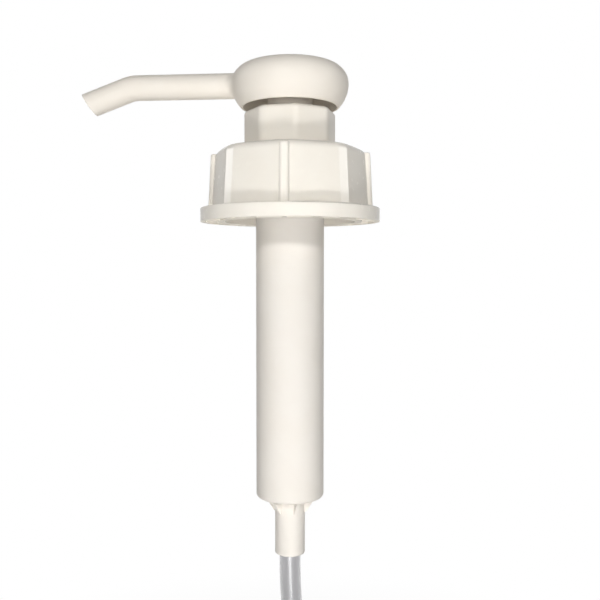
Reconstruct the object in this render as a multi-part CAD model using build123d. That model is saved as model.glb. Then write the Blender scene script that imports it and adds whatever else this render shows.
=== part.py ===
from build123d import *

import os
from math import asin, atan2, cos, degrees, pi, radians, sin, sqrt, tan

# Hand pump for a water jug, in millimetres, +Z up. The pump's axis is Z, and Z = 0 is the plane of the
# jug's rim, under the neck gasket. The plunger is down, with its boss locked into the nut.

# Jug neck and screw cap
NECK_THREAD_D = 61.0
CAP_WALL = 4.35
CAP_HEIGHT = 33.3
CAP_TOP_T = 1.7
CAP_CORNER_CUT = 2.6
CAP_FOOT_BOW = 0.3
CAP_TOP_BOW = 1.0
CAP_DRAFT = 2.5
CAP_SHOULDER_R = 3.5
CAP_CLOCK = -4.0
CAP_PLAY = 0.3
FLANGE_D = 83.8
FLANGE_H = 6.2
FLANGE_EDGE_R = 0.6
FLANGE_WALL = 2.2
FLANGE_WEBS = 16
FLANGE_WEB_T = 1.6
SKIRT_WALL = 3.2
RIB_COUNT = 4
RIB_W = 4.2
RIB_OUT = 1.95
RIB_LEAN = 1.4
RIB_DROP = 1.3
RIB_TOP_R = 1.0
RIB_EDGE_R = 1.4
RIB_FILLET = 0.6
RIB_SINK = 0.9
RIB_ROOT = 3.0

# Pump cylinder
BORE_D = 28.0
CYLINDER_WALL = 2.0
CYLINDER_DEPTH = 157.2
CYLINDER_EDGE_R = 1.7
FLOOR_T = 2.5
GASKET_T = 2.0
NECK_FLANGE_T = 2.0
NECK_FLANGE_GAP = 1.0
NECK_STEP = 0.8
SOCKET_WALL = 2.05
SOCKET_LENGTH = 27.4
SOCKET_EDGE_R = 0.5
INLET_LENGTH = 6.2
GUSSET_COUNT = 6
GUSSET_T = 1.5
GUSSET_H = 6.0
GUSSET_REACH = 4.2
GUSSET_CLOCK = -10.0
VENT_D = 3.0
VENT_DEPTH = 8.0

# Lock nut and stem wiper
NUT_HEIGHT = 17.7
NUT_WALL = 3.15
NUT_CORNER_R = 5.0
NUT_TOP_R = 2.0
NUT_FOOT_R = 0.6
NUT_PLATE_T = 3.4
NUT_CLOCK = 7.0
LOCK_DEPTH = 10.4
GUIDE_H = 6.0
SLEEVE_GAP = 0.5
WIPER_H = 3.0
WIPER_W = 3.9
WIPER_LIP_T = 0.9

# Push head and spout
HEAD_D = 54.6
HEAD_GAP = 1.9
HEAD_LOWER_H = 10.6
HEAD_LOWER_R = 14.8
HEAD_SHOULDER_R = 8.7
HEAD_CROWN_H = 11.0
HEAD_RIM_R = 0.35
HEAD_RIM_WALL = 0.9
HEAD_ROOF_T = 2.6
HEAD_RIBS = 8
HEAD_RIB_T = 1.6
HEAD_RIB_H = 5.0
BOSS_WALL = 3.0
BOSS_FOOT_GAP = 2.0
SPOUT_CLOCK = 175.0
SPOUT_D = 11.8
SPOUT_BORE_D = 6.6
SPOUT_SPIGOT_WALL = 1.3
SPOUT_SPIGOT_LENGTH = 12.0
SPOUT_SOCKET_OUT = 2.3
SPOUT_REACH = 75.1
SPOUT_BEND_R = 14.0
SPOUT_TIP_LENGTH = 22.2
SPOUT_TIP_DROP = 20.0
SPOUT_END_SLANT = 13.0

# Plunger, valves and spring
STROKE = 60.0
STEM_WALL = 2.0
STEM_STOP_STEP = 2.0
STEM_SEAT_DROP = 1.7
LAND_STEP = 1.5
PISTON_CORE_H = 14.0
PISTON_SKIRT_H = 3.0
PISTON_LIP_T = 1.3
PISTON_LIP_H = 4.5
SEAT_LAP = 1.2
SEAT_FLANGE_T = 2.0
SEAT_PLUG_H = 8.0
VALVE_LAND = 0.3
BALL_LIFT = 3.0
OUTLET_BALL_GAP = 1.5
STOP_RIBS = 3
STOP_RIB_T = 1.5
STOP_RIB_H = 6.0
STOP_RIB_TIP_R = 1.2
CAGE_FLANGE_T = 2.0
CAGE_WALL = 1.7
CAGE_ROOF_T = 1.6
CAGE_ROOF_HOLE_D = 5.0
CAGE_SLOTS = 4
CAGE_SLOT_W = 4.0
CAGE_SPRING_GAP = 1.4
INLET_BALL_GAP = 1.85
SPRING_WIRE_D = 1.8
SPRING_LENGTH = 40.0
SPRING_TURNS = 14
SPRING_SIDE_GAP = 1.1
SPRING_SEAT_GAP = 0.5

# Dip tube: a straight run in the socket, then two arcs of its coil set, and a slanted foot
TUBE_D = 10.0
TUBE_WALL = 1.0
TUBE_LEAD = 4.0
TUBE_ARC_R = (260.0, 520.0)
TUBE_ARC_TURN = (15.0, 12.0)
TUBE_FOOT_SLANT = 40.0

# Clearances
RUNNING_CLEARANCE = 0.1
THREAD_CLEARANCE = 0.3
LOCK_CLEARANCE = 1.2
NUT_CLEARANCE = 0.15
PRESS_CLEARANCE = 0.05
TOUCH_GAP = 0.1
OVERCUT = 1.0

# Heights, from the jug's rim up and down
Z_NECK_FLANGE = GASKET_T
Z_NECK_SHOULDER = Z_NECK_FLANGE + NECK_FLANGE_T
Z_CAP_UNDER = Z_NECK_SHOULDER + CAP_PLAY
Z_CAP_TOP = Z_CAP_UNDER + CAP_TOP_T
Z_CAP_FOOT = Z_CAP_TOP - CAP_HEIGHT
Z_FLANGE_TOP = Z_CAP_FOOT + FLANGE_H
Z_NUT_FOOT = Z_CAP_TOP + CAP_PLAY
Z_NUT_TOP = Z_NUT_FOOT + NUT_HEIGHT
Z_NECK_TOP = Z_NUT_TOP - NUT_PLATE_T
Z_LOCK_FLOOR = Z_NUT_TOP - LOCK_DEPTH
Z_GUIDE_FOOT = Z_LOCK_FLOOR - GUIDE_H
Z_SLEEVE_FOOT = Z_GUIDE_FOOT - WIPER_H
Z_HEAD_RIM = Z_NUT_TOP + HEAD_GAP
Z_EQUATOR = Z_HEAD_RIM + HEAD_LOWER_H
Z_CROWN = Z_EQUATOR + HEAD_CROWN_H
Z_BOSS_FOOT = Z_LOCK_FLOOR + BOSS_FOOT_GAP
Z_STEM_TOP = Z_EQUATOR - SPOUT_BORE_D / 2 - STEM_SEAT_DROP
Z_CYLINDER_FOOT = -CYLINDER_DEPTH
Z_FLOOR = Z_CYLINDER_FOOT + FLOOR_T
Z_SPRING_FOOT = Z_FLOOR + CAGE_FLANGE_T
Z_PISTON_SEAT = Z_SPRING_FOOT + SPRING_LENGTH
Z_PISTON_TOP = Z_PISTON_SEAT + PISTON_CORE_H
Z_STEM_STOP = Z_SLEEVE_FOOT - TOUCH_GAP - STROKE
Z_SOCKET_FOOT = Z_CYLINDER_FOOT - SOCKET_LENGTH

# Radii of the plunger, from the cylinder's wall inwards
BORE_R = BORE_D / 2
CYLINDER_R = BORE_R + CYLINDER_WALL
PISTON_LIP_R = BORE_R - RUNNING_CLEARANCE
PISTON_SKIRT_R = PISTON_LIP_R - PISTON_LIP_T
SPRING_OUTER_R = PISTON_SKIRT_R - SPRING_SIDE_GAP
SPRING_MEAN_R = SPRING_OUTER_R - SPRING_WIRE_D / 2
SPRING_INNER_R = SPRING_OUTER_R - SPRING_WIRE_D
SEAT_FLANGE_R = SPRING_INNER_R - SPRING_SEAT_GAP
LAND_R = SEAT_FLANGE_R - SEAT_LAP
STOP_R = LAND_R + LAND_STEP
STEM_R = STOP_R - STEM_STOP_STEP
STEM_BORE_R = STEM_R - STEM_WALL
BOSS_R = STEM_R + BOSS_WALL
OUTLET_BALL_R = STEM_BORE_R - OUTLET_BALL_GAP
CAGE_R = SPRING_INNER_R - CAGE_SPRING_GAP
CAGE_BORE_R = CAGE_R - CAGE_WALL
INLET_BALL_R = CAGE_BORE_R - INLET_BALL_GAP

# Radii of the neck, nut, cap and tube
NECK_R = CYLINDER_R + NECK_STEP
NUT_BORE_R = NECK_R + NUT_CLEARANCE
NUT_FLAT_R = NUT_BORE_R + NUT_WALL
CAP_BORE_R = NECK_THREAD_D / 2
CAP_FACE_R = CAP_BORE_R + CAP_WALL
CAP_INSET = (Z_CAP_TOP - Z_FLANGE_TOP) * tan(radians(CAP_DRAFT))
CAP_HOLE_R = NECK_R + THREAD_CLEARANCE
NECK_FLANGE_R = CAP_BORE_R - NECK_FLANGE_GAP
TUBE_R = TUBE_D / 2
SOCKET_BORE_R = TUBE_R + PRESS_CLEARANCE
SOCKET_R = SOCKET_BORE_R + SOCKET_WALL
HEAD_R = HEAD_D / 2
SPOUT_R = SPOUT_D / 2
SPOUT_BORE_R = SPOUT_BORE_D / 2
SPIGOT_R = SPOUT_BORE_R + SPOUT_SPIGOT_WALL
SPOUT_START = HEAD_R + SPOUT_SOCKET_OUT

# A ball rests on a 45 degree cone: it touches at this share of its radius, beside and below its centre
CONE_SHARE = sin(radians(45))
INLET_R = INLET_BALL_R * CONE_SHARE - VALVE_LAND
OUTLET_R = OUTLET_BALL_R * CONE_SHARE - VALVE_LAND
Z_INLET_CONE = Z_FLOOR - (CAGE_BORE_R - INLET_R)
Z_TUBE_SEAT = Z_INLET_CONE - INLET_LENGTH
Z_SEAT_TOP = Z_PISTON_SEAT - TOUCH_GAP + SEAT_PLUG_H
SEAT_CONE_R = STEM_BORE_R - PRESS_CLEARANCE - VALVE_LAND
Z_SEAT_CONE = Z_SEAT_TOP - (SEAT_CONE_R - OUTLET_R)


def polar(radius, angle, z=0.0):
    """Point at a radius and an angle in degrees about Z."""
    return Vector(radius * cos(radians(angle)), radius * sin(radians(angle)), z)


def turned(*outline):
    """Solid of revolution about Z from a closed outline of (radius, height) points."""
    return revolve(Plane.XZ * make_face(Polyline(*outline, close=True)), Axis.Z)


def rod(radius, low, high):
    """Upright cylinder about Z between two heights."""
    return turned((0, low), (radius, low), (radius, high), (0, high))


def ring(inner, outer, low, high):
    """Upright ring about Z between two heights."""
    return turned((inner, low), (outer, low), (outer, high), (inner, high))


def rounded_octagon(flat_r, corner_r, clock):
    """Octagon with rounded corners, the first of them at the clock angle."""
    corner = flat_r / cos(pi / 8)
    outline = make_face(Polyline(*[polar(corner, clock + 45 * i) for i in range(8)], close=True))
    return fillet(outline.vertices(), corner_r)


def octagon_corner(face_r, bow):
    """Radius of the sharp corners of an octagon whose faces bow out to a radius in their middle."""
    return (face_r - bow) / cos(pi / 8)


def bowed_octagon(face_r, bow, corner_cut, clock):
    """Octagon with faces that bow out by a small height, and corners cut off flat."""
    corner = octagon_corner(face_r, bow)
    sides = []
    for angle in [clock + 45 * i for i in range(8)]:
        middle = polar(face_r, angle + 22.5)
        side = ThreePointArc(polar(corner, angle), middle, polar(corner, angle + 45))
        share = corner_cut / side.length
        sides.append(side.trim(share, 1 - share))
    cuts = [Line(sides[i - 1] @ 1, sides[i] @ 0) for i in range(8)]
    return make_face(Wire(sides + cuts))


def around(shape, count, start=0.0):
    """Copies of a shape, evenly spaced about Z."""
    return [Rot(Z=start + 360 * i / count) * shape for i in range(count)]


def upright_slab(outline, thickness):
    """Slab over the XZ plane's (x, z) outline, centred on that plane."""
    return extrude(Plane.XZ * make_face(Polyline(*outline, close=True)), thickness / 2, both=True)


def ball_height(cone_foot_r, cone_foot_z, ball_r):
    """Height of a ball's centre, a small gap off the 45 degree cone that it rests on."""
    touch = ball_r * CONE_SHARE
    return cone_foot_z + (touch - cone_foot_r) + touch + TOUCH_GAP / CONE_SHARE


Z_INLET_BALL = ball_height(INLET_R, Z_INLET_CONE, INLET_BALL_R)
Z_OUTLET_BALL = ball_height(OUTLET_R, Z_SEAT_CONE, OUTLET_BALL_R)


def spout_plane():
    """Upright plane through the axis, with x along the spout and y up."""
    along = polar(1, SPOUT_CLOCK)
    return Plane(origin=(0, 0, 0), x_dir=along, z_dir=along.cross(Vector(0, 0, 1)))


def along_spout(radius, start, end):
    """Round bar on the spout's level axis, between two distances from the pump's axis."""
    across = Plane(origin=polar(start, SPOUT_CLOCK, Z_EQUATOR), z_dir=polar(1, SPOUT_CLOCK))
    return extrude(across * Circle(radius), end - start)


def head_outline():
    """Half section of the mushroom: flat foot, lower cheek, shoulder and crown, each tangent to the next."""
    cheek = Vector(HEAD_R - HEAD_LOWER_R, Z_EQUATOR)
    cheek_turn = degrees(asin(HEAD_LOWER_H / HEAD_LOWER_R))
    shoulder = Vector(HEAD_R - HEAD_SHOULDER_R, Z_EQUATOR)
    rise = HEAD_CROWN_H
    crown_r = (shoulder.X**2 + rise**2 - HEAD_SHOULDER_R**2) / (2 * (rise - HEAD_SHOULDER_R))
    shoulder_turn = degrees(atan2(crown_r - rise, shoulder.X))
    with BuildSketch() as section:
        with BuildLine():
            lower = CenterArc(cheek, HEAD_LOWER_R, -cheek_turn, cheek_turn)
            CenterArc(shoulder, HEAD_SHOULDER_R, 0, shoulder_turn)
            upper = CenterArc((0, Z_CROWN - crown_r), crown_r, shoulder_turn, 90 - shoulder_turn)
            Polyline(upper @ 1, (0, Z_HEAD_RIM), lower @ 0)
        make_face()
        rim = section.vertices().filter_by(lambda v: v.Y < Z_HEAD_RIM + TOUCH_GAP).sort_by(Axis.X)[-1]
        fillet(rim, HEAD_RIM_R)
    return section.sketch


def cheek_radius(height):
    """Outside radius of the head's lower cheek at a height."""
    return HEAD_R - HEAD_LOWER_R + sqrt(HEAD_LOWER_R**2 - (Z_EQUATOR - height) ** 2)


def make_head():
    """Mushroom push button: hollow, ribbed under its roof, with the lock boss and the spout's socket."""
    cavity_r = cheek_radius(Z_HEAD_RIM) - HEAD_RIM_WALL
    shoulder_x = HEAD_R - HEAD_SHOULDER_R
    roof_over_cavity = Z_EQUATOR + sqrt(HEAD_SHOULDER_R**2 - max(cavity_r - shoulder_x, 0) ** 2)
    ceiling = roof_over_cavity - HEAD_ROOF_T
    head = revolve(Plane.XZ * head_outline(), Axis.Z)
    head -= rod(cavity_r, Z_HEAD_RIM - OVERCUT, ceiling)
    head += rod(BOSS_R, Z_BOSS_FOOT, ceiling)
    rib_low = ceiling - HEAD_RIB_H
    rib = upright_slab(
        [(STEM_R, rib_low), (cavity_r + OVERCUT, rib_low), (cavity_r + OVERCUT, ceiling), (STEM_R, ceiling)],
        HEAD_RIB_T,
    )
    head += around(rib, HEAD_RIBS, SPOUT_CLOCK)
    head += along_spout(SPOUT_R, BOSS_R / 2, SPOUT_START)
    head -= rod(STEM_R + PRESS_CLEARANCE, Z_BOSS_FOOT - OVERCUT, Z_STEM_TOP)
    head -= rod(STEM_BORE_R, Z_STEM_TOP - OVERCUT, Z_EQUATOR + SPOUT_BORE_R)
    head -= along_spout(SPOUT_BORE_R, 0, SPOUT_START)
    head -= along_spout(SPIGOT_R + PRESS_CLEARANCE, SPOUT_START - SPOUT_SPIGOT_LENGTH, SPOUT_START + OVERCUT)
    return head


def make_spout():
    """Bent outlet tube with a slanted end and a spigot that plugs into the head."""
    drop = radians(SPOUT_TIP_DROP)
    run_out = SPOUT_TIP_LENGTH + SPOUT_D
    bend = (SPOUT_REACH, Z_EQUATOR)
    route = FilletPolyline(
        (SPOUT_START, Z_EQUATOR),
        bend,
        (bend[0] + run_out * cos(drop), bend[1] - run_out * sin(drop)),
        radius=SPOUT_BEND_R,
    )
    frame = spout_plane()
    path = frame * route
    start = Plane(origin=path @ 0, z_dir=path % 0)
    spout = sweep(start * Circle(SPOUT_R), path)
    spout += along_spout(SPIGOT_R, SPOUT_START - SPOUT_SPIGOT_LENGTH, SPOUT_START)
    spout -= sweep(start * Circle(SPOUT_BORE_R), path)
    spout -= along_spout(SPOUT_BORE_R, SPOUT_START - SPOUT_SPIGOT_LENGTH - OVERCUT, SPOUT_START + OVERCUT)
    facing = radians(SPOUT_TIP_DROP + SPOUT_END_SLANT)
    tip = frame.from_local_coords(
        Vector(bend[0] + SPOUT_TIP_LENGTH * cos(drop), bend[1] - SPOUT_TIP_LENGTH * sin(drop))
    )
    outwards = frame.from_local_coords(Vector(cos(facing), -sin(facing)))
    return split(spout, bisect_by=Plane(origin=tip, z_dir=outwards), keep=Keep.BOTTOM)


def make_stem():
    """Hollow plunger rod: guided shank, stop length, piston land, and ribs that stop the outlet ball."""
    land_top = Z_PISTON_TOP + TOUCH_GAP
    land_foot = Z_PISTON_SEAT - TOUCH_GAP
    stem = turned(
        (STEM_BORE_R, land_foot),
        (LAND_R, land_foot),
        (LAND_R, land_top),
        (STOP_R, land_top),
        (STOP_R, Z_STEM_STOP),
        (STEM_R, Z_STEM_STOP),
        (STEM_R, Z_STEM_TOP),
        (STEM_BORE_R, Z_STEM_TOP),
    )
    stop_foot = Z_OUTLET_BALL + OUTLET_BALL_R + BALL_LIFT + TOUCH_GAP
    outside = STEM_BORE_R + STEM_WALL / 2
    rib = upright_slab(
        [
            (STOP_RIB_TIP_R, stop_foot),
            (outside, stop_foot),
            (outside, stop_foot + STOP_RIB_H),
            (STOP_RIB_TIP_R, stop_foot + STOP_RIB_H),
        ],
        STOP_RIB_T,
    )
    return stem + around(rib, STOP_RIBS)


def make_piston_seal():
    """Piston ring with a lip that flares up, a skirt that hangs round the spring, and the spring's seat."""
    inner = LAND_R + RUNNING_CLEARANCE
    waist = PISTON_SKIRT_R - PISTON_LIP_T / 2
    core = STOP_R
    lip_root = Z_PISTON_TOP - PISTON_LIP_H
    skirt_foot = Z_PISTON_SEAT - PISTON_SKIRT_H
    return turned(
        (inner, Z_PISTON_SEAT),
        (PISTON_SKIRT_R, Z_PISTON_SEAT),
        (PISTON_SKIRT_R, skirt_foot),
        (PISTON_LIP_R, skirt_foot),
        (PISTON_LIP_R, skirt_foot + PISTON_LIP_T),
        (waist, Z_PISTON_SEAT + PISTON_LIP_T),
        (waist, lip_root),
        (PISTON_LIP_R, Z_PISTON_TOP - PISTON_LIP_T),
        (PISTON_LIP_R, Z_PISTON_TOP),
        (PISTON_SKIRT_R, Z_PISTON_TOP),
        (core, lip_root + PISTON_LIP_T),
        (core, Z_PISTON_TOP),
        (inner, Z_PISTON_TOP),
    )


def make_valve_seat():
    """Hollow plug in the stem's foot: its flange holds the piston, and its cone seats the outlet ball."""
    plug_r = STEM_BORE_R - PRESS_CLEARANCE
    flange_top = Z_PISTON_SEAT - TOUCH_GAP
    return turned(
        (OUTLET_R, flange_top - SEAT_FLANGE_T),
        (SEAT_FLANGE_R, flange_top - SEAT_FLANGE_T),
        (SEAT_FLANGE_R, flange_top),
        (plug_r, flange_top),
        (plug_r, Z_SEAT_TOP),
        (SEAT_CONE_R, Z_SEAT_TOP),
        (OUTLET_R, Z_SEAT_CONE),
    )


def make_ball_cage():
    """Slotted cage over the inlet ball, on a flange that carries the spring."""
    roof_foot = Z_INLET_BALL + INLET_BALL_R + BALL_LIFT + TOUCH_GAP
    roof_top = roof_foot + CAGE_ROOF_T
    hole_r = CAGE_ROOF_HOLE_D / 2
    cage = turned(
        (CAGE_BORE_R, Z_FLOOR),
        (BORE_R - THREAD_CLEARANCE, Z_FLOOR),
        (BORE_R - THREAD_CLEARANCE, Z_SPRING_FOOT),
        (CAGE_R, Z_SPRING_FOOT),
        (CAGE_R, roof_top),
        (hole_r, roof_top),
        (hole_r, roof_foot),
        (CAGE_BORE_R, roof_foot),
    )
    slot = upright_slab(
        [
            (CAGE_BORE_R - CAGE_WALL, Z_SPRING_FOOT),
            (CAGE_R + OVERCUT, Z_SPRING_FOOT),
            (CAGE_R + OVERCUT, roof_foot),
            (CAGE_BORE_R - CAGE_WALL, roof_foot),
        ],
        CAGE_SLOT_W,
    )
    return cage - around(slot, CAGE_SLOTS, 45)


def arc_pair(start, start_way, end, end_way):
    """Two arcs, tangent to each other and to the ways given at both ends."""
    chord = end - start
    ways = start_way + end_way
    closing = 2 * (1 - start_way.dot(end_way))
    reach = (-chord.dot(ways) + sqrt(chord.dot(ways) ** 2 + closing * chord.dot(chord))) / closing
    middle = (start + end + (start_way - end_way) * reach) * 0.5
    middle_way = (chord - ways * reach).normalized()
    return [TangentArc(start, middle, tangent=start_way), TangentArc(middle, end, tangent=middle_way)]


def make_return_spring():
    """Compressed coil spring between the ball cage and the piston: one wire, swept along pairs of arcs."""
    foot = Z_SPRING_FOOT + SPRING_WIRE_D / 2 + TOUCH_GAP
    top = Z_PISTON_SEAT - SPRING_WIRE_D / 2 - TOUCH_GAP
    halves = 2 * SPRING_TURNS
    climb = (top - foot) / halves
    slope = climb / (pi * SPRING_MEAN_R)
    points = [polar(SPRING_MEAN_R, 180 * i, foot + climb * i) for i in range(halves + 1)]
    ways = [(polar(1, 180 * i + 90) + Vector(0, 0, slope)).normalized() for i in range(halves + 1)]
    arcs = []
    for i in range(halves):
        arcs += arc_pair(points[i], ways[i], points[i + 1], ways[i + 1])
    path = Wire(arcs)
    turn_gap = 2 * climb - SPRING_WIRE_D * sqrt(1 + slope**2)
    print(f"return spring: least gap between turns {turn_gap:.2f} mm")
    return sweep(Plane(origin=points[0], z_dir=ways[0]) * Circle(SPRING_WIRE_D / 2), path)


def make_cylinder():
    """Barrel with its neck, the flange that the gasket sits under, the vent, and the gusseted tube socket."""
    with BuildSketch() as section:
        with BuildLine():
            Polyline(
                (BORE_R, Z_NECK_TOP),
                (NECK_R, Z_NECK_TOP),
                (NECK_R, Z_NECK_SHOULDER),
                (NECK_FLANGE_R, Z_NECK_SHOULDER),
                (NECK_FLANGE_R, Z_NECK_FLANGE),
                (CYLINDER_R, Z_NECK_FLANGE),
                (CYLINDER_R, Z_CYLINDER_FOOT),
                (SOCKET_R, Z_CYLINDER_FOOT),
                (SOCKET_R, Z_SOCKET_FOOT),
                (SOCKET_BORE_R, Z_SOCKET_FOOT),
                (SOCKET_BORE_R, Z_TUBE_SEAT),
                (INLET_R, Z_TUBE_SEAT),
                (INLET_R, Z_INLET_CONE),
                (CAGE_BORE_R, Z_FLOOR),
                (BORE_R, Z_FLOOR),
                close=True,
            )
        make_face()
        foot = section.vertices().sort_by_distance((CYLINDER_R, Z_CYLINDER_FOOT))[0]
        fillet(foot, CYLINDER_EDGE_R)
        lip = section.vertices().sort_by_distance((SOCKET_R, Z_SOCKET_FOOT))[0]
        fillet(lip, SOCKET_EDGE_R)
    cylinder = revolve(Plane.XZ * section.sketch, Axis.Z)
    root = SOCKET_BORE_R + SOCKET_WALL / 2
    top = Z_CYLINDER_FOOT + FLOOR_T / 2
    gusset = upright_slab(
        [
            (root, top),
            (SOCKET_R + GUSSET_REACH, top),
            (SOCKET_R + GUSSET_REACH, Z_CYLINDER_FOOT),
            (SOCKET_R, Z_CYLINDER_FOOT - GUSSET_H),
            (root, Z_CYLINDER_FOOT - GUSSET_H),
        ],
        GUSSET_T,
    )
    cylinder += around(gusset, GUSSET_COUNT, GUSSET_CLOCK)
    vent = Plane(origin=(0, 0, -VENT_DEPTH), z_dir=(0, 1, 0)) * Circle(VENT_D / 2)
    return cylinder - extrude(vent, CYLINDER_R + OVERCUT)


def make_lock_nut():
    """Octagonal collar: skirt over the neck, lock socket for the boss, and a sleeve that guides the stem."""
    nut = Pos(Z=Z_NUT_FOOT) * extrude(rounded_octagon(NUT_FLAT_R, NUT_CORNER_R, NUT_CLOCK), NUT_HEIGHT)
    nut = fillet(nut.faces().sort_by(Axis.Z)[-1].edges(), NUT_TOP_R)
    nut = fillet(nut.faces().sort_by(Axis.Z)[0].edges(), NUT_FOOT_R)
    nut -= rod(NUT_BORE_R, Z_NUT_FOOT - OVERCUT, Z_NECK_TOP)
    nut += rod(BORE_R - SLEEVE_GAP, Z_SLEEVE_FOOT, Z_NUT_TOP - NUT_TOP_R)
    nut -= rod(BOSS_R + LOCK_CLEARANCE, Z_LOCK_FLOOR, Z_NUT_TOP + OVERCUT)
    nut -= rod(STEM_R + RUNNING_CLEARANCE, Z_SLEEVE_FOOT - OVERCUT, Z_NUT_TOP)
    return nut - rod(STEM_R + WIPER_W + PRESS_CLEARANCE, Z_SLEEVE_FOOT - OVERCUT, Z_GUIDE_FOOT)


def make_stem_wiper():
    """Rubber ring in the foot of the nut's sleeve, with a thin lip on the stem."""
    lip_r = STEM_R + RUNNING_CLEARANCE
    outer = STEM_R + WIPER_W
    return turned(
        (lip_r, Z_GUIDE_FOOT),
        (lip_r, Z_GUIDE_FOOT - WIPER_LIP_T),
        (lip_r + WIPER_LIP_T, Z_SLEEVE_FOOT),
        (outer, Z_SLEEVE_FOOT),
        (outer, Z_GUIDE_FOOT),
    )


def make_neck_gasket():
    """Flat ring that seals the cylinder's flange on the jug's rim."""
    return ring(CYLINDER_R + THREAD_CLEARANCE, NECK_FLANGE_R, 0, GASKET_T)


def rib_section(corner, tip):
    """Level section of a grip rib on a corner of the cap: rounded tip, and hollow fillets at its root."""
    half = RIB_W / 2
    root = corner - RIB_SINK
    foot = half + RIB_FILLET
    with BuildSketch() as section:
        with BuildLine():
            Polyline((root - RIB_ROOT, 0), (root - RIB_ROOT, foot), (root, foot))
            CenterArc((root + RIB_FILLET, foot), RIB_FILLET, 180, 90)
            Line((root + RIB_FILLET, half), (tip - RIB_EDGE_R, half))
            CenterArc((tip - RIB_EDGE_R, half - RIB_EDGE_R), RIB_EDGE_R, 0, 90)
            Line((tip, half - RIB_EDGE_R), (tip, 0))
            mirror(about=Plane.XZ)
        make_face()
    return section.sketch


def make_cap_rib():
    """Grip rib on one corner of the cap, leaning out towards its foot, with a rounded top."""
    corner_foot = octagon_corner(CAP_FACE_R, CAP_FOOT_BOW)
    corner_top = octagon_corner(CAP_FACE_R - CAP_INSET, CAP_TOP_BOW)
    tip = corner_top + RIB_OUT
    foot = Pos(Z=Z_FLANGE_TOP - FLANGE_EDGE_R) * rib_section(corner_foot, tip + RIB_LEAN)
    top = Pos(Z=Z_CAP_TOP - RIB_DROP) * rib_section(corner_top, tip)
    rib = loft([foot, top], ruled=True)
    edges = rib.faces().sort_by(Axis.Z)[-1].edges()
    return fillet(edges.filter_by(lambda e: e.center().X > corner_top - RIB_SINK + RIB_FILLET), RIB_TOP_R)


def make_screw_cap():
    """Octagonal screw cap: cut corners, round shoulder, four grip ribs, and a flange hollowed between webs."""
    foot = bowed_octagon(CAP_FACE_R, CAP_FOOT_BOW, CAP_CORNER_CUT, CAP_CLOCK)
    top = bowed_octagon(CAP_FACE_R - CAP_INSET, CAP_TOP_BOW, CAP_CORNER_CUT, CAP_CLOCK)
    cap = loft([Pos(Z=Z_FLANGE_TOP) * foot, Pos(Z=Z_CAP_TOP) * top], ruled=True)
    cap = fillet(cap.faces().sort_by(Axis.Z)[-1].edges(), CAP_SHOULDER_R)
    flange = rod(FLANGE_D / 2, Z_CAP_FOOT, Z_FLANGE_TOP)
    cap += fillet(flange.edges().sort_by(Axis.Z)[-1], FLANGE_EDGE_R)
    cap += around(make_cap_rib(), RIB_COUNT, CAP_CLOCK)
    skirt_r = CAP_BORE_R + SKIRT_WALL
    groove_r = FLANGE_D / 2 - FLANGE_WALL
    groove = ring(skirt_r, groove_r, Z_CAP_FOOT - OVERCUT, Z_FLANGE_TOP - FLANGE_WALL)
    web = upright_slab(
        [
            (skirt_r - OVERCUT, Z_CAP_FOOT),
            (groove_r + OVERCUT, Z_CAP_FOOT),
            (groove_r + OVERCUT, Z_FLANGE_TOP - FLANGE_WALL),
            (skirt_r - OVERCUT, Z_FLANGE_TOP - FLANGE_WALL),
        ],
        FLANGE_WEB_T,
    )
    cap -= groove
    cap += around(web, FLANGE_WEBS, CAP_CLOCK)
    cap -= rod(CAP_BORE_R, Z_CAP_FOOT - OVERCUT, Z_CAP_UNDER)
    return cap - rod(CAP_HOLE_R, Z_CAP_UNDER - OVERCUT, Z_CAP_TOP + OVERCUT)


def make_dip_tube():
    """Clear tube from its seat in the socket down to a slanted foot, set in a gentle curve."""
    low = Z_SOCKET_FOOT - TUBE_LEAD
    start = Vector(0, 0, Z_TUBE_SEAT)
    lines = [Line(start, (0, 0, low))]
    place, heading = Vector(0, 0, low), 0.0
    for radius, turn in zip(TUBE_ARC_R, TUBE_ARC_TURN):
        centre = place + Vector(cos(radians(heading)), 0, sin(radians(heading))) * radius
        way = Vector(sin(radians(heading)), 0, -cos(radians(heading)))
        heading += turn
        place = centre - Vector(cos(radians(heading)), 0, sin(radians(heading))) * radius
        lines.append(TangentArc(lines[-1] @ 1, place, tangent=way))
    path = Wire(lines)
    section = Plane(origin=start, z_dir=(0, 0, -1)) * (Circle(TUBE_R) - Circle(TUBE_R - TUBE_WALL))
    tube = sweep(section, path)
    share = tube.volume / (section.area * path.length)
    print(f"dip tube: {path.length:.1f} mm long, {share:.4f} of its section")
    facing = radians(heading + TUBE_FOOT_SLANT)
    back = TUBE_R * tan(radians(TUBE_FOOT_SLANT))
    way = Vector(sin(radians(heading)), 0, -cos(radians(heading)))
    cut = Plane(origin=place - way * back, z_dir=(sin(facing), 0, -cos(facing)))
    return split(tube, bisect_by=cut, keep=Keep.BOTTOM)


def ball(radius, height):
    """Check ball on the axis."""
    return Pos(Z=height) * Sphere(radius)


parts = {
    "pump_head": make_head(),
    "spout": make_spout(),
    "stem": make_stem(),
    "piston_seal": make_piston_seal(),
    "valve_seat": make_valve_seat(),
    "outlet_ball": ball(OUTLET_BALL_R, Z_OUTLET_BALL),
    "return_spring": make_return_spring(),
    "ball_cage": make_ball_cage(),
    "inlet_ball": ball(INLET_BALL_R, Z_INLET_BALL),
    "pump_cylinder": make_cylinder(),
    "lock_nut": make_lock_nut(),
    "stem_wiper": make_stem_wiper(),
    "neck_gasket": make_neck_gasket(),
    "screw_cap": make_screw_cap(),
    "dip_tube": make_dip_tube(),
}

os.makedirs("parts", exist_ok=True)
for name, part in parts.items():
    export_step(part, f"parts/{name}.step")
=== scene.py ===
"""Looks of a water jug pump: finishes, screw threads, spout root, socket webs, spring, studio and camera."""

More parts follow.
